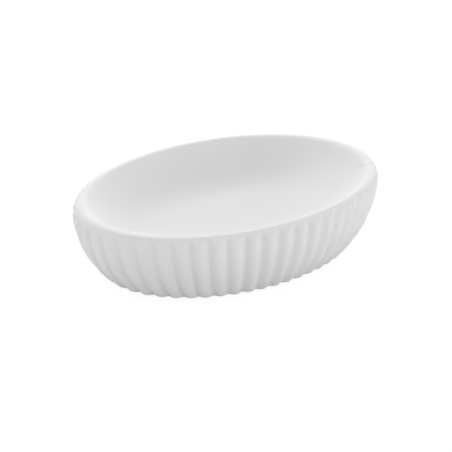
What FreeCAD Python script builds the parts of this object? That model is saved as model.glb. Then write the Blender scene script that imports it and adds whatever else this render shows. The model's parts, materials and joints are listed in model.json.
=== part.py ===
import FreeCAD, Part
import math
import os
import Sketcher

# Oval soap dish: one cast body with a ribbed wall, a plain rim and a smooth bowl-shaped basin,
# and four round non-slip pads bonded into shallow pockets under its base.
# Millimetres, +X along the length, +Z up, origin on the resting plane under the middle of the dish.
doc = FreeCAD.newDocument("soap_dish")

driving_sizes = {
    "dish_length": 140,
    "dish_width": 98,
    "body_height": 30.6,
    "rib_count": 50,
    "rib_depth": 1.5,
    "rib_end": 1.3,
    "wall_radius": 39,
    "belly_height": 29,
    "lip_height": 1.5,
    "lip_setback": 0.2,
    "lip_root": 3,
    "crest_inset_along": 4.7,
    "crest_inset_across": 3.1,
    "rim_land": 0.3,
    "basin_depth": 18.6,
    "pad_diameter": 10,
    "pad_thickness": 1.75,
    "pad_rounding": 0.4,
    "pad_spacing_along": 72,
    "pad_spacing_across": 36,
    "adhesive_thickness": 0.25,
    "pocket_depth": 1.2,
    "pocket_clearance": 0.3,
    "cut_overrun": 2,
}
# A level is a height above the resting plane. A reach is a distance from the middle along the length,
# and a breadth one across the width.
derived_sizes = {
    "base_level": "=adhesive_thickness + pad_thickness - pocket_depth",
    "belly_level": "=base_level + belly_height",
    "rim_level": "=base_level + body_height",
    "ledge_level": "=rim_level - lip_height",
    "rib_end_level": "=ledge_level - rib_end",
    "valley_length": "=dish_length - 2 * rib_depth",
    "valley_width": "=dish_width - 2 * rib_depth",
    "lip_reach": "=valley_length / 2 - lip_setback",
    "lip_breadth": "=valley_width / 2 - lip_setback",
    "crest_reach": "=dish_length / 2 - crest_inset_along",
    "crest_breadth": "=dish_width / 2 - crest_inset_across",
    "mouth_reach": "=crest_reach - rim_land",
    "mouth_breadth": "=crest_breadth - rim_land",
    "mouth_share": "=mouth_breadth / mouth_reach",
    "floor_level": "=rim_level - basin_depth",
    "pad_roll_level": "=pad_rounding",
    "pad_roll_reach": "=pad_diameter / 2 - pad_rounding",
}
# Counts of the ribbed outlines up the wall and of the narrow bands that round a pad's edge.
outline_count = 4
pad_bands = 1
# Rounded upper end of a rib: share of its height passed, share of the rib depth that still stands out.
rib_end_shares = [(0.5, 0.5), (1, 0)]
# Lip, from its foot to the crest: share of the way out from the crest, share of the lip height below it.
lip_shares = [(1, 1), (0.9, 0.57), (0.7, 0.26), (0.42, 0.06), (0, 0)]
# Basin, from its flat middle up to the mouth: share of the mouth's reach, share of the basin depth.
basin_shares = [
    (0.34, 1), (0.44, 0.935), (0.53, 0.886), (0.6, 0.844), (0.67, 0.776), (0.735, 0.686), (0.8, 0.564),
    (0.855, 0.433), (0.905, 0.285), (0.95, 0.121), (0.975, 0.032), (1, 0),
]

sheet = doc.addObject("Spreadsheet::Sheet", "sizes")
for row, (alias, content) in enumerate({**driving_sizes, **derived_sizes}.items(), start=1):
    sheet.set(f"A{row}", alias)
    sheet.set(f"B{row}", str(content))
    sheet.setAlias(f"B{row}", alias)
doc.recompute()


def size(alias):
    return float(sheet.get(alias))


def worked_out(expression):
    return float(sheet.evalExpression(expression))


def bind(item, expressions):
    for path, expression in expressions.items():
        item.setExpression(path, expression)


def lofted(name, sections):
    # A solid with straight bands between its outlines.
    body = doc.addObject("Part::Loft", name)
    body.Sections = sections
    body.Solid = True
    body.Ruled = True
    return body


def ring(name, reach, breadth, level):
    # A level oval.
    oval = doc.addObject("Part::Ellipse", name)
    bind(oval, {"MajorRadius": reach, "MinorRadius": breadth, "Placement.Base.z": level})
    return oval


def rib_outline(name, share, level, standing):
    # Convex ribs of equal width round the oval, meeting in sharp valleys, at one height.
    half_length = size("valley_length") / 2
    half_width = size("valley_width") / 2
    rib_count = int(size("rib_count"))
    oval = Part.Ellipse(FreeCAD.Vector(), half_length, half_width).toShape()
    points = []
    for index, mark in enumerate(oval.discretize(Number=2 * rib_count + 1)):
        outward = FreeCAD.Vector(mark.x / half_length ** 2, mark.y / half_width ** 2, 0).normalize()
        rise = size("rib_depth") * standing if index % 2 else 0
        points.append((mark + outward * rise) * share + FreeCAD.Vector(0, 0, level))
    points[-1] = points[0]
    arcs = [Part.Arc(*points[first:first + 3]).toShape() for first in range(0, 2 * rib_count, 2)]
    outline = doc.addObject("Part::Feature", name)
    outline.Shape = Part.Wire(arcs)
    return outline


def ribbed_wall():
    # The wall swells upwards on a circular arc, each higher outline being the same one made larger.
    # At the top the ribs round off against the lip.
    radius = size("wall_radius")
    low_angle = math.asin((size("belly_level") - size("base_level")) / radius)
    high_angle = math.asin((size("belly_level") - size("rib_end_level")) / radius)
    places = []
    for index in range(outline_count):
        angle = low_angle + (high_angle - low_angle) * index / (outline_count - 1)
        places.append((size("belly_level") - radius * math.sin(angle), 1))
    for passed, standing in rib_end_shares:
        places.append((size("rib_end_level") + size("rib_end") * passed, standing))
    outlines = []
    for number, (level, standing) in enumerate(places, start=1):
        inset = radius - math.sqrt(radius ** 2 - (size("belly_level") - level) ** 2)
        share = 1 - 2 * inset / size("valley_length")
        outlines.append(rib_outline(f"rib_outline_{number}", share, level, standing))
    return lofted("ribbed_wall", outlines)


def plain_rim():
    # The smooth lip is rooted in the wall, stands on the rib ends and rolls over to its crest,
    # broadly at the ends of the dish and tightly at its sides.
    root_level = "sizes.ledge_level - sizes.lip_root"
    rings = [ring("lip_root_ring", "sizes.crest_reach", "sizes.crest_breadth", root_level)]
    for number, (out, drop) in enumerate(lip_shares, start=1):
        rings.append(ring(f"lip_ring_{number}",
                          f"sizes.crest_reach + (sizes.lip_reach - sizes.crest_reach) * {out}",
                          f"sizes.crest_breadth + (sizes.lip_breadth - sizes.crest_breadth) * {out}",
                          f"sizes.rim_level - sizes.lip_height * {drop}"))
    return lofted("rim", rings)


def rounded_corner(corner, radius, first_angle, last_angle, bands):
    # Outline points round a corner, counted from its centre at the named reach and level.
    points = []
    for band in range(bands + 1):
        angle = f"({first_angle} + ({last_angle} - ({first_angle})) * {band} / {bands})"
        points.append((f"sizes.{corner}_reach + sizes.{radius} * cos({angle})",
                       f"sizes.{corner}_level + sizes.{radius} * sin({angle})"))
    return points


def turned_body(name, outline):
    # A closed outline of straight edges, turned once round the vertical axis.
    # Each point is a reach and a level; the first and the last lie on the axis, with no reach.
    body = doc.addObject("PartDesign::Body", name)
    sketch = body.newObject("Sketcher::SketchObject", f"{name}_outline")
    upright = next(plane for plane in body.Origin.OriginFeatures if plane.Role == "XZ_Plane")
    sketch.AttachmentSupport = [(upright, "")]
    sketch.MapMode = "FlatFace"
    places = [(worked_out(reach or "0"), worked_out(level)) for reach, level in outline]
    for place, following in zip(places, places[1:] + places[:1]):
        edge = Part.LineSegment(FreeCAD.Vector(*place, 0), FreeCAD.Vector(*following, 0))
        sketch.addGeometry(edge, False)
    for index, (reach, level) in enumerate(outline):
        previous = (index - 1) % len(outline)
        sketch.addConstraint(Sketcher.Constraint("Coincident", previous, 2, index, 1))
        if reach:
            limit = Sketcher.Constraint("DistanceX", -1, 1, index, 1, places[index][0])
            sideways = sketch.addConstraint(limit)
            sketch.setExpression(f"Constraints[{sideways}]", reach)
        else:
            sketch.addConstraint(Sketcher.Constraint("PointOnObject", index, 1, -2))
        limit = Sketcher.Constraint("DistanceY", -1, 1, index, 1, places[index][1])
        upward = sketch.addConstraint(limit)
        sketch.setExpression(f"Constraints[{upward}]", level)
    turned = body.newObject("PartDesign::Revolution", f"{name}_turned")
    turned.Profile = sketch
    turned.ReferenceAxis = (sketch, ["V_Axis"])
    turned.Angle = 360
    doc.recompute()
    return body


def basin():
    # One smooth bowl: the mouth rolls in from the crest, the side sweeps down and the floor is gently dished.
    outline = [(None, "sizes.floor_level")]
    for reach, drop in basin_shares:
        outline.append((f"sizes.mouth_reach * {reach}", f"sizes.rim_level - sizes.basin_depth * {drop}"))
    outline += [("sizes.mouth_reach", "sizes.rim_level + sizes.cut_overrun")]
    outline += [(None, "sizes.rim_level + sizes.cut_overrun")]
    # Narrowing the turned form across the dish makes it oval.
    oval = doc.addObject("Part::Scale", "oval_hollow")
    oval.Base = turned_body("hollow", outline)
    oval.Uniform = False
    bind(oval, {"YScale": "sizes.mouth_share"})
    return oval


def corner_place(along, across):
    return {
        "Placement.Base.x": f"{along} * sizes.pad_spacing_along / 2",
        "Placement.Base.y": f"{across} * sizes.pad_spacing_across / 2",
    }


def foot_pad(name, place):
    # A soft disc with a rounded lower edge.
    outline = [(None, "0")]
    outline += rounded_corner("pad_roll", "pad_rounding", "-90", "0", pad_bands)
    outline += [("sizes.pad_diameter / 2", "sizes.pad_thickness"), (None, "sizes.pad_thickness")]
    pad = turned_body(name, outline)
    bind(pad, place)
    return pad


def cylinder(name, radius, height, level, place):
    item = doc.addObject("Part::Cylinder", name)
    bind(item, {"Radius": radius, "Height": height, "Placement.Base.z": level, **place})
    return item


pieces = []
pockets = []
for depth, across in (("front", -1), ("rear", 1)):
    for side, along in (("left", -1), ("right", 1)):
        corner = f"{depth}_{side}"
        place = corner_place(along, across)
        pieces.append(foot_pad(f"foot_pad_{corner}", place))
        pieces.append(cylinder(f"pad_adhesive_{corner}", "sizes.pad_diameter / 2",
                               "sizes.adhesive_thickness", "sizes.pad_thickness", place))
        pockets.append(cylinder(f"pocket_{corner}", "sizes.pad_diameter / 2 + sizes.pocket_clearance",
                                "sizes.pocket_depth + sizes.cut_overrun",
                                "sizes.base_level - sizes.cut_overrun", place))

blank = doc.addObject("Part::Fuse", "dish_blank")
blank.Base = ribbed_wall()
blank.Tool = plain_rim()
hollowed = doc.addObject("Part::Cut", "hollowed_dish")
hollowed.Base = blank
hollowed.Tool = basin()
pocket_set = doc.addObject("Part::Compound", "pocket_set")
pocket_set.Links = pockets
dish_body = doc.addObject("Part::Cut", "dish_body")
dish_body.Base = hollowed
dish_body.Tool = pocket_set
pieces.append(dish_body)
doc.recompute()

for item in doc.Objects:
    if {"Invalid", "Error"} & set(item.State):
        raise RuntimeError(f"{item.Label} did not build: {item.State}")
for piece in pieces:
    if piece.Shape.isNull() or not piece.Shape.isValid() or len(piece.Shape.Solids) != 1:
        raise RuntimeError(f"{piece.Label} is not one sound solid")

os.makedirs("parts", exist_ok=True)
for piece in pieces:
    piece.Shape.exportStep(f"parts/{piece.Label}.step")
    print(f"{piece.Label}: {piece.Shape.Volume:.1f} mm3")
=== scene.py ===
import bpy
import json
import math
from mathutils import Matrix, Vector

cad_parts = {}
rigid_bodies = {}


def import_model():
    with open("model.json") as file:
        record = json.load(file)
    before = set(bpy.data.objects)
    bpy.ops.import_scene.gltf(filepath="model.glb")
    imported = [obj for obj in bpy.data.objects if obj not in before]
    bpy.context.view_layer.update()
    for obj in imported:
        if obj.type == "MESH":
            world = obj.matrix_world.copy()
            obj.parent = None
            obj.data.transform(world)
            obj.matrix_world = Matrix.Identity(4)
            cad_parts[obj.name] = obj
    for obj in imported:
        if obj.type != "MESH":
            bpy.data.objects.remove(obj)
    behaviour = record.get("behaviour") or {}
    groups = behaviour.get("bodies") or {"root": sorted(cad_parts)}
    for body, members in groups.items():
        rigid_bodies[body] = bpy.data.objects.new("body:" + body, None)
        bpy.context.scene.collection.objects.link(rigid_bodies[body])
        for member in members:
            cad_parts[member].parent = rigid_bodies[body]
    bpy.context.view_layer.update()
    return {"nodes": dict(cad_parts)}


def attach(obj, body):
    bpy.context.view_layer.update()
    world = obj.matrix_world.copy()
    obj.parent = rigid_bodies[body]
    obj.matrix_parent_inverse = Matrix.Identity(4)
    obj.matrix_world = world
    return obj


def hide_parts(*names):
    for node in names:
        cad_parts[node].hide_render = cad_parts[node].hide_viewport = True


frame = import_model()
scene = bpy.context.scene
mm = 0.001
white = (1, 1, 1, 1)
print("frame loaded:", sorted(frame["nodes"]))


def addNode(tree, kind, inputs=None, **settings):
    node = tree.nodes.new(kind)
    for name, value in settings.items():
        setattr(node, name, value)
    for key, value in (inputs or {}).items():
        if isinstance(value, bpy.types.NodeSocket):
            tree.links.new(value, node.inputs[key])
        else:
            node.inputs[key].default_value = value
    return node


def made(tree, kind, inputs=None, **settings):
    return addNode(tree, kind, inputs, **settings).outputs[0]


def calc(tree, operation, first, second=0.0):
    return made(tree, "ShaderNodeMath", {0: first, 1: second}, operation=operation)


def wholeCalc(tree, operation, first, second):
    return made(tree, "FunctionNodeIntegerMath", {0: first, 1: second}, operation=operation)


def vectorCalc(tree, operation, first, second=(0, 0, 0)):
    return made(tree, "ShaderNodeVectorMath", {0: first, 1: second}, operation=operation)


def measured(tree, operation, first, second):
    node = addNode(tree, "ShaderNodeVectorMath", {0: first, 1: second}, operation=operation)
    return node.outputs["Value"]


def scaled(tree, vector, factor):
    return made(tree, "ShaderNodeVectorMath", {0: vector, "Scale": factor}, operation="SCALE")


def oneAxis(tree, vector, axis):
    return addNode(tree, "ShaderNodeSeparateXYZ", {0: vector}).outputs[axis]


def sampled(tree, geometry, value, index, kind):
    inputs = {"Geometry": geometry, "Value": value, "Index": index}
    return made(tree, "GeometryNodeSampleIndex", inputs, data_type=kind)


def newPiece(name, points, edges, faces):
    mesh = bpy.data.meshes.new(name)
    mesh.from_pydata(points, edges, faces)
    piece = bpy.data.objects.new(name, mesh)
    scene.collection.objects.link(piece)
    return piece


# bakes a node tree's result into the piece's own mesh
def bakeTree(piece, tree, values):
    modifier = piece.modifiers.new(tree.name, "NODES")
    modifier.node_group = tree
    for socket in tree.interface.items_tree:
        if socket.in_out == "INPUT" and socket.name in values:
            modifier[socket.identifier] = values[socket.name]
    evaluated = piece.evaluated_get(bpy.context.evaluated_depsgraph_get())
    mesh = bpy.data.meshes.new_from_object(evaluated)
    piece.modifiers.remove(modifier)
    piece.data = mesh
    mesh.name = piece.name


# what all the grainy finishes share
grainDetail = {"clouds": 3, "grain": 4, "bumpStrength": 0.5}
ceramicFinish = {
    "paleTone": (0.84, 0.84, 0.842, 1),
    "deepTone": (0.81, 0.81, 0.814, 1),
    "cloudScale": 38,
    "grainScale": 1500,
    "grainHeight": 0.00002,
    "roughness": 0.6,
    "roughnessSpread": 0.06,
    "specular": 0.38,
}
padFinish = {
    "paleTone": (0.65, 0.66, 0.67, 1),
    "deepTone": (0.57, 0.58, 0.59, 1),
    "cloudScale": 170,
    "grainScale": 2200,
    "grainHeight": 0.00003,
    "roughness": 0.68,
    "roughnessSpread": 0.08,
    "specular": 0.4,
}
filmFinish = {
    "paleTone": (0.83, 0.82, 0.77, 1),
    "deepTone": (0.76, 0.75, 0.7, 1),
    "cloudScale": 240,
    "grainScale": 1800,
    "grainHeight": 0.00001,
    "roughness": 0.5,
    "roughnessSpread": 0.05,
    "specular": 0.45,
}
# small marks painted into the colour, as lines in millimetres: painted shade along a crease over the lip at
# each end, and three specks, two darker and one paler than the finish
creaseShadeAndSpecks = {
    "rightCreaseShadeOuter": {
        "line": ((63.5, -18.8, 30.4), (59, -20.2, 31.4)),
        "width": 0.7,
        "tone": 0.6,
        "show": 0.6,
    },
    "rightCreaseShadeCrest": {
        "line": ((59, -20.2, 31.4), (57.7, -16.4, 29.4)),
        "width": 0.7,
        "tone": 0.6,
        "show": 0.7,
    },
    "rightCreaseShadeInner": {
        "line": ((57.7, -16.4, 29.4), (56.2, -12.8, 26)),
        "width": 0.6,
        "tone": 0.6,
        "show": 0.35,
    },
    "leftCreaseShade": {
        "line": ((-53.1, 28.1, 31.3), (-51, 26.4, 30.5)),
        "width": 0.6,
        "tone": 0.6,
        "show": 0.4,
    },
    "leftSpeck": {
        "line": ((-57.4, -25.8, 22.4), (-57.4, -25.7, 22.8)),
        "width": 0.4,
        "tone": 0.5,
        "show": 0.6,
    },
    "paleSpeck": {
        "line": ((3.6, -44.8, 12.6), (3.8, -44.9, 13)),
        "width": 0.5,
        "tone": 1.0,
        "show": 0.8,
    },
    "rightSpeck": {
        "line": ((13.2, -47.6, 24.5), (13.1, -47.3, 23.2)),
        "width": 0.4,
        "tone": 0.55,
        "show": 0.4,
    },
}


def lineDistance(tree, place, start, end):
    along = (Vector(end) - Vector(start)) * mm
    offset = vectorCalc(tree, "SUBTRACT", place, tuple(Vector(start) * mm))
    passed = measured(tree, "DOT_PRODUCT", offset, tuple(along / along.length_squared))
    held = made(tree, "ShaderNodeClamp", {"Value": passed})
    nearest = scaled(tree, tuple(along), held)
    return measured(tree, "DISTANCE", offset, nearest)


def mixedTone(tree, factor, first, second):
    mix = addNode(tree, "ShaderNodeMix", {0: factor, 6: first, 7: second}, data_type="RGBA")
    return mix.outputs[2]


# lays each mark's tone over the finish along its line; on the crease lines that tone is painted shade
def paintCreaseShadeAndSpecks(tree, place, tone):
    for mark in creaseShadeAndSpecks.values():
        fade = made(tree, "ShaderNodeMapRange", {
            "Value": lineDistance(tree, place, *mark["line"]),
            "From Max": mark["width"] * mm,
            "To Min": mark["show"],
            "To Max": 0,
        }, interpolation_type="SMOOTHSTEP")
        grey = mark["tone"]
        tone = mixedTone(tree, fade, tone, (grey, grey, grey, 1))
    return tone


def cloudiness(tree, place, scale, detail):
    inputs = {"Vector": place, "Scale": scale, "Detail": detail}
    return addNode(tree, "ShaderNodeTexNoise", inputs).outputs["Fac"]


def grainyMaterial(name, look, withCreaseShade=False):
    material = bpy.data.materials.new(name)
    material.use_nodes = True
    tree = material.node_tree
    place = addNode(tree, "ShaderNodeTexCoord").outputs["Object"]
    clouds = cloudiness(tree, place, look["cloudScale"], grainDetail["clouds"])
    grain = cloudiness(tree, place, look["grainScale"], grainDetail["grain"])
    tone = mixedTone(tree, clouds, look["deepTone"], look["paleTone"])
    # painted shade along the crease lines over the lip, plus the three specks
    if withCreaseShade:
        tone = paintCreaseShadeAndSpecks(tree, place, tone)
    rough = made(tree, "ShaderNodeMapRange", {
        "Value": grain,
        "To Min": look["roughness"] - look["roughnessSpread"],
        "To Max": look["roughness"] + look["roughnessSpread"],
    })
    bump = made(tree, "ShaderNodeBump", {
        "Height": grain,
        "Strength": grainDetail["bumpStrength"],
        "Distance": look["grainHeight"],
    })
    shader = tree.nodes["Principled BSDF"]
    for socket, value in (("Base Color", tone), ("Roughness", rough), ("Normal", bump)):
        tree.links.new(value, shader.inputs[socket])
    shader.inputs["Specular IOR Level"].default_value = look["specular"]
    return material


# lengths in millimetres; a flush of 1 would bring the lip out to the rib crowns
dishSizes = {
    "length": 140,
    "width": 98,
    "bodyHeight": 30.6,
    "baseLevel": 0.8,
    "baseEdge": 0.6,
    "baseEdgeRows": 4,
    "undersideShares": (0.25, 0.5, 0.75, 0.94),
    "underRibInset": 0.96,
    "underRibShare": 0.85,
    "ovalSteps": 2880,
    "ribCount": 50,
    "ribSegments": 14,
    "ribDepth": 1.75,
    "ribEnd": 2.3,
    "ribEndRows": 12,
    "valleySoftness": 0.2,
    "wallRadius": 39,
    "bellyHeight": 29,
    "wallRows": 26,
    "lipHeight": 0.8,
    "lipAngle": 12,
    "lipFullness": 2.5,
    "lipRows": 14,
    "endFlush": 0.6,
    "sideFlush": 0.35,
    "endDrop": 1.6,
    "endFade": 3,
    "endSharpness": 4,
    "crestLength": 131,
    "crestWidth": 92,
    "mouthShare": 0.953,
    "mouthRows": 12,
    "blendRadius": 48,
    "blendRows": 20,
    "floorShare": 0.52,
    "floorRadius": 230,
    "floorRows": 12,
    "pocketDiameter": 10.6,
    "pocketDepth": 1.2,
    "pocketAlong": 72,
    "pocketAcross": 36,
    "pocketSides": 96,
    "mergeGap": 0.002,
    "unevenness": 0.05,
    "slumpScale": 55,
    "slumpDetail": 1,
    "seed": 7,
}
rimLevel = dishSizes["baseLevel"] + dishSizes["bodyHeight"]
valleyReach = dishSizes["length"] / 2 - dishSizes["ribDepth"]
valleyBreadth = dishSizes["width"] / 2 - dishSizes["ribDepth"]
crestReach = dishSizes["crestLength"] / 2
crestBreadth = dishSizes["crestWidth"] / 2


# a row of the section: reach along the length, reach across the width, level, share of the rib shown
def wallRow(level, share=1.0, inward=0.0):
    size = dishSizes
    drop = (size["baseLevel"] + size["bellyHeight"] - level) / size["wallRadius"]
    reach = valleyReach - size["wallRadius"] * (1 - math.sqrt(1 - drop * drop)) - inward
    return (reach, reach * valleyBreadth / valleyReach, level, share)


def blendedRow(weights, rows):
    return tuple(sum(weight * value for weight, value in zip(weights, values)) for values in zip(*rows))


# underside, with a softened edge
def undersideRows():
    size = dishSizes
    base = size["baseLevel"]
    edge = size["baseEdge"]
    under, foot, high = wallRow(base, 1.0, edge), wallRow(base), wallRow(base + edge)
    rows = [(0, 0, base, 0)]
    for share in size["undersideShares"]:
        rows.append((foot[0] * share, foot[1] * share, base, 0))
    rows.append(wallRow(base, size["underRibShare"], size["underRibInset"]))
    for step in range(size["baseEdgeRows"] + 1):
        passed = step / size["baseEdgeRows"]
        weights = ((1 - passed) ** 2, 2 * passed * (1 - passed), passed * passed)
        rows.append(blendedRow(weights, (under, foot, high)))
    return rows


# ribbed wall, and the round ends of its valleys under the lip
def wallRows():
    size = dishSizes
    low = size["baseLevel"] + size["baseEdge"]
    high = rimLevel - size["lipHeight"] - size["ribEnd"]
    rows = []
    for step in range(1, size["wallRows"] + 1):
        rows.append(wallRow(low + (high - low) * step / size["wallRows"]))
    for step in range(1, size["ribEndRows"] + 1):
        passed = step / size["ribEndRows"]
        standing = 0.5 + 0.5 * math.cos(math.pi * passed)
        fill = size["ribDepth"] * (1 - standing)
        along, across, level, share = wallRow(high + size["ribEnd"] * passed, standing)
        rows.append((along + fill * size["endFlush"], across + fill * size["sideFlush"], level, share))
    return rows


# lip: a quarter round, wide at the ends of the dish and narrow at its sides
def lipRows(root):
    size = dishSizes
    low = math.radians(size["lipAngle"])
    bend = 2 / size["lipFullness"]
    rows = []
    for step in range(size["lipRows"] + 1):
        angle = low + (math.pi / 2 - low) * step / size["lipRows"]
        out = (math.cos(angle) / math.cos(low)) ** bend
        drop = size["lipHeight"] * (1 - math.sin(angle) ** bend) / (1 - math.sin(low) ** bend)
        along = crestReach + (root[0] - crestReach) * out
        across = crestBreadth + (root[1] - crestBreadth) * out
        rows.append((along, across, rimLevel - drop, 0))
    return rows


# basin: a roll at the mouth, a round side and a gently dished floor
def basinRows():
    size = dishSizes
    narrow = crestBreadth / crestReach
    side = size["blendRadius"]
    floor = size["floorRadius"]
    mouth = crestReach * size["mouthShare"]
    floorReach = crestReach * size["floorShare"]
    floorTilt = math.asin(floorReach / floor)
    steep = math.asin(math.sin(floorTilt) + (mouth - floorReach) / side)
    stride = (crestReach - mouth) / size["mouthRows"]
    reach, level = crestReach, rimLevel
    rows = []
    for step in range(size["mouthRows"]):
        passed = (step + 0.5) / size["mouthRows"]
        level -= stride * math.tan(steep * math.sin(passed * math.pi / 2))
        reach -= stride
        rows.append((reach, reach * narrow, level, 0))
    sideMiddle = level + side * math.cos(steep)
    for step in range(1, size["blendRows"] + 1):
        angle = steep + (floorTilt - steep) * step / size["blendRows"]
        reach = mouth - side * (math.sin(steep) - math.sin(angle))
        rows.append((reach, reach * narrow, sideMiddle - side * math.cos(angle), 0))
    floorMiddle = rows[-1][2] + floor * math.cos(floorTilt)
    for step in range(1, size["floorRows"] + 1):
        angle = floorTilt * (1 - step / size["floorRows"])
        reach = floor * math.sin(angle)
        rows.append((reach, reach * narrow, floorMiddle - floor * math.cos(angle), 0))
    return rows


# half section from under the middle, out, up the wall, over the lip and back along the basin
def dishSection():
    rows = undersideRows() + wallRows()
    return rows + lipRows(rows[-1]) + basinRows()


# how far each row sinks at the ends of the dish, where the lip slopes down outwards to the ribs
def endDrops(rows):
    size = dishSizes
    levels = [row[2] for row in rows]
    crestRow = levels.index(max(levels))
    wallHeight = size["bodyHeight"] - size["lipHeight"]
    drops = []
    for number, level in enumerate(levels):
        below = min(1, (rimLevel - level) / size["lipHeight"])
        up = min(1, (level - size["baseLevel"]) / wallHeight)
        drops.append(size["endDrop"] * below * up ** size["endFade"] if number < crestRow else 0)
    return drops


# line through the valleys, in even steps
def ovalRing(tree, given, stretch, steps):
    circleInputs = {"Resolution": given["Oval Steps"], "Radius": 1.0}
    circle = made(tree, "GeometryNodeCurvePrimitiveCircle", circleInputs)
    oval = made(tree, "GeometryNodeTransform", {"Geometry": circle, "Scale": stretch})
    return made(tree, "GeometryNodeResampleCurve", {"Curve": oval, "Count": steps})


# rib height across one rib: a round crown and a soft valley
def ribHeight(tree, given, turn):
    softness = given["Valley Softness"]
    softSquare = calc(tree, "MULTIPLY", softness, softness)

    def softened(value):
        square = calc(tree, "MULTIPLY", value, value)
        root = calc(tree, "SQRT", calc(tree, "ADD", square, softSquare))
        return calc(tree, "SUBTRACT", root, softness)

    across = calc(tree, "FRACT", calc(tree, "DIVIDE", turn, given["Rib Segments"]))
    fromCrown = calc(tree, "ABSOLUTE", calc(tree, "SUBTRACT", calc(tree, "MULTIPLY", across, 2.0), 1.0))
    fromValley = calc(tree, "SUBTRACT", 1.0, fromCrown)
    spread = calc(tree, "DIVIDE", softened(fromValley), softened(1.0))
    spreadSquare = calc(tree, "MULTIPLY", spread, spread)
    crown = calc(tree, "SUBTRACT", calc(tree, "MULTIPLY", spread, 2.0), spreadSquare)
    return calc(tree, "MULTIPLY", crown, given["Rib Depth"])


# sheet with one column for each step round the oval and one row for each point of the section
def wrappedSection(tree, given):
    section = given["Geometry"]
    stretch = made(tree, "ShaderNodeCombineXYZ", {0: given["Half Length"], 1: given["Half Width"], 2: 1.0})
    steps = calc(tree, "MULTIPLY", given["Rib Count"], given["Rib Segments"])
    ring = ovalRing(tree, given, stretch, steps)
    counted = addNode(tree, "GeometryNodeAttributeDomainSize", {0: section}, component="MESH")
    rowCount = counted.outputs["Point Count"]
    columnCount = calc(tree, "ADD", steps, 1)
    sheet = made(tree, "GeometryNodeMeshGrid", {"Vertices X": columnCount, "Vertices Y": rowCount})
    index = made(tree, "GeometryNodeInputIndex")
    row = wholeCalc(tree, "MODULO", index, rowCount)
    turn = wholeCalc(tree, "MODULO", wholeCalc(tree, "DIVIDE_FLOOR", index, rowCount), steps)
    place = made(tree, "GeometryNodeInputPosition")
    sectionPlace = sampled(tree, section, place, row, "FLOAT_VECTOR")
    ringPlace = sampled(tree, ring, place, turn, "FLOAT_VECTOR")
    rowValues = {}
    for name in ("ribShare", "endDrop"):
        value = made(tree, "GeometryNodeInputNamedAttribute", {"Name": name})
        rowValues[name] = sampled(tree, section, value, row, "FLOAT")

    # the ribs stand out square to the oval
    rise = calc(tree, "MULTIPLY", ribHeight(tree, given, turn), rowValues["ribShare"])
    stretchSquare = vectorCalc(tree, "MULTIPLY", stretch, stretch)
    outward = vectorCalc(tree, "NORMALIZE", vectorCalc(tree, "DIVIDE", ringPlace, stretchSquare))
    outline = vectorCalc(tree, "ADD", ringPlace, scaled(tree, outward, rise))
    reach = vectorCalc(tree, "DIVIDE", vectorCalc(tree, "MULTIPLY", sectionPlace, (1, 1, 0)), stretch)
    plan = vectorCalc(tree, "MULTIPLY", outline, reach)

    # the lip sinks towards the ends
    alongShare = calc(tree, "ABSOLUTE", oneAxis(tree, vectorCalc(tree, "DIVIDE", ringPlace, stretch), "X"))
    endShare = calc(tree, "POWER", alongShare, given["End Sharpness"])
    sunk = made(tree, "ShaderNodeCombineXYZ", {2: calc(tree, "MULTIPLY", endShare, rowValues["endDrop"])})
    level = vectorCalc(tree, "SUBTRACT", vectorCalc(tree, "MULTIPLY", sectionPlace, (0, 0, 1)), sunk)
    spot = vectorCalc(tree, "ADD", plan, level)
    shaped = made(tree, "GeometryNodeSetPosition", {"Geometry": sheet, "Position": spot})
    return made(tree, "GeometryNodeMergeByDistance", {"Geometry": shaped, "Distance": given["Merge Gap"]})


# slight slumps of the cast wall, always inwards
def slumped(tree, given, body):
    place = made(tree, "GeometryNodeInputPosition")
    wobbleInputs = {
        "Vector": place,
        "W": given["Seed"],
        "Scale": given["Slump Scale"],
        "Detail": given["Slump Detail"],
    }
    wobble = addNode(tree, "ShaderNodeTexNoise", wobbleInputs, noise_dimensions="4D").outputs["Fac"]
    inwards = calc(tree, "MULTIPLY", calc(tree, "MULTIPLY", wobble, given["Unevenness"]), -1.0)
    slump = scaled(tree, made(tree, "GeometryNodeInputNormal"), inwards)
    aboveBase = calc(tree, "GREATER_THAN", oneAxis(tree, place, "Z"), given["Pocket Level"])
    return made(tree, "GeometryNodeSetPosition", {"Geometry": body, "Selection": aboveBase, "Offset": slump})


# pockets for the pads, at the corners of an oblong under the base
def pocketed(tree, given, body):
    corners = made(tree, "GeometryNodeMeshGrid", {
        "Vertices X": 2,
        "Vertices Y": 2,
        "Size X": given["Pocket Along"],
        "Size Y": given["Pocket Across"],
    })
    cutter = made(tree, "GeometryNodeMeshCylinder", {
        "Vertices": given["Pocket Sides"],
        "Radius": given["Pocket Radius"],
        "Depth": given["Pocket Height"],
    })
    lift = made(tree, "ShaderNodeCombineXYZ", {2: given["Pocket Level"]})
    cutters = made(tree, "GeometryNodeInstanceOnPoints", {"Points": corners, "Instance": cutter})
    cutters = made(tree, "GeometryNodeTransform", {"Geometry": cutters, "Translation": lift})
    cutters = made(tree, "GeometryNodeRealizeInstances", {0: cutters})
    cut = made(tree, "GeometryNodeMeshBoolean", {"Mesh 1": body, "Mesh 2": cutters}, solver="MANIFOLD")
    return made(tree, "GeometryNodeRealizeInstances", {0: cut})


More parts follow.
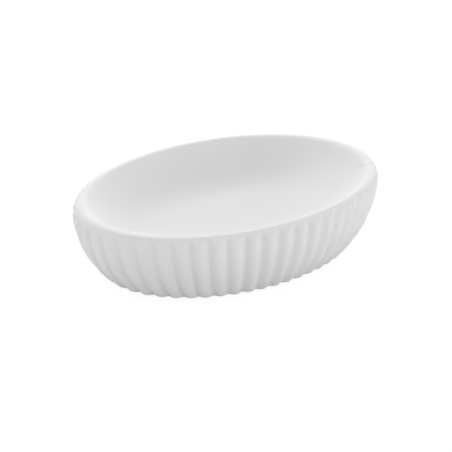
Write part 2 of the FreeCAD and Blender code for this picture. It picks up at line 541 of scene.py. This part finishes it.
# carries the section round an oval, raises the ribs along it and sinks the pad pockets
def ribbedDishTree():
    tree = bpy.data.node_groups.new("ribbedDish", "GeometryNodeTree")
    kinds = {
        "Geometry": ("Geometry",),
        "Int": ("Oval Steps", "Rib Count", "Rib Segments", "Seed", "Pocket Sides"),
        "Float": ("Half Length", "Half Width", "Rib Depth", "Valley Softness", "End Sharpness", "Merge Gap",
                  "Unevenness", "Slump Scale", "Slump Detail", "Pocket Radius", "Pocket Height",
                  "Pocket Along", "Pocket Across", "Pocket Level"),
        "Material": ("Finish",),
    }
    for kind, names in kinds.items():
        for name in names:
            tree.interface.new_socket(name, in_out="INPUT", socket_type="NodeSocket" + kind)
    tree.interface.new_socket("Geometry", in_out="OUTPUT", socket_type="NodeSocketGeometry")
    given = tree.nodes.new("NodeGroupInput").outputs
    result = tree.nodes.new("NodeGroupOutput")
    body = pocketed(tree, given, slumped(tree, given, wrappedSection(tree, given)))
    smooth = made(tree, "GeometryNodeSetShadeSmooth", {0: body})
    finished = made(tree, "GeometryNodeSetMaterial", {"Geometry": smooth, "Material": given["Finish"]})
    tree.links.new(finished, result.inputs[0])
    return tree


def makeDishBody():
    size = dishSizes
    rows = dishSection()
    points = [(along * mm, across * mm, level * mm) for along, across, level, share in rows]
    dish = newPiece("dishBody", points, [(number, number + 1) for number in range(len(points) - 1)], [])
    shares = dish.data.attributes.new("ribShare", "FLOAT", "POINT")
    shares.data.foreach_set("value", [row[3] for row in rows])
    drops = dish.data.attributes.new("endDrop", "FLOAT", "POINT")
    drops.data.foreach_set("value", [drop * mm for drop in endDrops(rows)])
    bakeTree(dish, ribbedDishTree(), {
        "Half Length": valleyReach * mm,
        "Half Width": valleyBreadth * mm,
        "Oval Steps": size["ovalSteps"],
        "Rib Count": size["ribCount"],
        "Rib Segments": size["ribSegments"],
        "Rib Depth": size["ribDepth"] * mm,
        "Valley Softness": size["valleySoftness"],
        "End Sharpness": float(size["endSharpness"]),
        "Merge Gap": size["mergeGap"] * mm,
        "Unevenness": size["unevenness"] * mm,
        "Slump Scale": float(size["slumpScale"]),
        "Slump Detail": float(size["slumpDetail"]),
        "Seed": size["seed"],
        "Pocket Radius": size["pocketDiameter"] / 2 * mm,
        "Pocket Height": 2 * size["pocketDepth"] * mm,
        "Pocket Along": size["pocketAlong"] * mm,
        "Pocket Across": size["pocketAcross"] * mm,
        "Pocket Sides": size["pocketSides"],
        "Pocket Level": size["baseLevel"] * mm,
        "Finish": grainyMaterial("matteWhiteCeramic", ceramicFinish, True),
    })
    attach(dish, "root")
    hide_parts("dish_body")
    print("dish body:", len(dish.data.vertices), "points,", len(dish.data.polygons), "faces")


# the pads and their adhesive discs keep their built shape and get a finish
def dressPads():
    for start, material in (("foot_pad", grainyMaterial("softGreyPad", padFinish)),
                            ("pad_adhesive", grainyMaterial("adhesiveFilm", filmFinish))):
        dressed = [item for item in scene.objects if item.type == "MESH" and item.name.startswith(start)]
        for item in dressed:
            item.data.materials.clear()
            item.data.materials.append(material)
        print(start, "finish:", len(dressed), "pieces")


# stage lengths in metres; the floor seen is near white, and the card under it throws light up at the dish
stageSizes = {"side": 6.0, "roughness": 0.9}
stageSheets = {
    "floor": {"level": 0, "tone": 0.2, "glow": 0.88, "seen": True},
    "bounceCard": {"level": -0.0004, "tone": 0.85, "glow": 0, "seen": False},
}


def makeFloor():
    half = stageSizes["side"] / 2
    corners = ((-half, -half), (half, -half), (half, half), (-half, half))
    for name, look in stageSheets.items():
        points = [(x, y, look["level"]) for x, y in corners]
        sheet = newPiece(name, points, [], [(0, 1, 2, 3)])
        material = bpy.data.materials.new(name)
        material.use_nodes = True
        inputs = material.node_tree.nodes["Principled BSDF"].inputs
        inputs["Base Color"].default_value = (look["tone"], look["tone"], look["tone"], 1)
        inputs["Roughness"].default_value = stageSizes["roughness"]
        inputs["Specular IOR Level"].default_value = 0
        inputs["Emission Color"].default_value = white
        inputs["Emission Strength"].default_value = look["glow"]
        sheet.data.materials.append(material)
        sheet.visible_camera = look["seen"]
        sheet.visible_diffuse = not look["seen"]
        sheet.visible_glossy = not look["seen"]
        sheet.visible_shadow = not look["seen"]


cameraSizes = {
    "azimuth": -37.2,
    "elevation": 23.77,
    "distance": 0.7557,
    "aimLevel": 0.0161,
    "sensorWidth": 36,
    "lens": 144.7,
    "shiftX": -0.0064,
    "shiftY": -0.0227,
    "nearest": 0.01,
}


# direction from the dish at a turn from the front and a lift from the floor, in degrees
def wayOut(turn, lift):
    turn, lift = math.radians(turn), math.radians(lift)
    return Vector((math.sin(turn) * math.cos(lift), -math.cos(turn) * math.cos(lift), math.sin(lift)))


def placeFacing(data, spot, way):
    item = bpy.data.objects.new(data.name, data)
    item.location = spot
    item.rotation_euler = (-way).to_track_quat("-Z", "Y").to_euler()
    scene.collection.objects.link(item)
    return item


def makeCamera():
    size = cameraSizes
    data = bpy.data.cameras.new("photoCamera")
    data.sensor_width = size["sensorWidth"]
    data.lens = size["lens"]
    data.shift_x = size["shiftX"]
    data.shift_y = size["shiftY"]
    data.clip_start = size["nearest"]
    back = wayOut(size["azimuth"], size["elevation"])
    scene.camera = placeFacing(data, Vector((0, 0, size["aimLevel"])) + back * size["distance"], back)


# each softbox stands round the dish, in degrees to the right of the camera and up from the floor
lightSizes = {"boxSide": 0.6, "boxDistance": 1.4, "worldStrength": 0.4}
softboxes = {
    "rearHigh": {"turn": 180, "lift": 48, "power": 5.41},
    "rearLeftHigh": {"turn": 210, "lift": 48, "power": 4.04},
    "frontLeftHigh": {"turn": 300, "lift": 48, "power": 1.43},
    "frontRightLow": {"turn": 30, "lift": 14, "power": 3.5},
    "rightLowNear": {"turn": 60, "lift": 14, "power": 1.17},
    "rightLow": {"turn": 90, "lift": 14, "power": 2.52},
    "rearRightLow": {"turn": 150, "lift": 14, "power": 1.89},
    "rearLow": {"turn": 180, "lift": 14, "power": 2.84},
    "leftLow": {"turn": 270, "lift": 14, "power": 1.75},
    "frontLeftLow": {"turn": 300, "lift": 14, "power": 1.6},
}


def makeLights():
    size = lightSizes
    for name, box in softboxes.items():
        data = bpy.data.lights.new(name, "AREA")
        data.shape = "SQUARE"
        data.size = size["boxSide"]
        data.energy = box["power"]
        way = wayOut(cameraSizes["azimuth"] + box["turn"], box["lift"])
        placeFacing(data, way * size["boxDistance"], way)
    world = bpy.data.worlds.new("studio")
    scene.world = world
    world.use_nodes = True
    background = world.node_tree.nodes["Background"].inputs
    background["Color"].default_value = white
    background["Strength"].default_value = size["worldStrength"]


makeDishBody()
dressPads()
makeFloor()
makeCamera()
makeLights()
scene.view_settings.view_transform = "Standard"
print("floor, camera and lights placed")
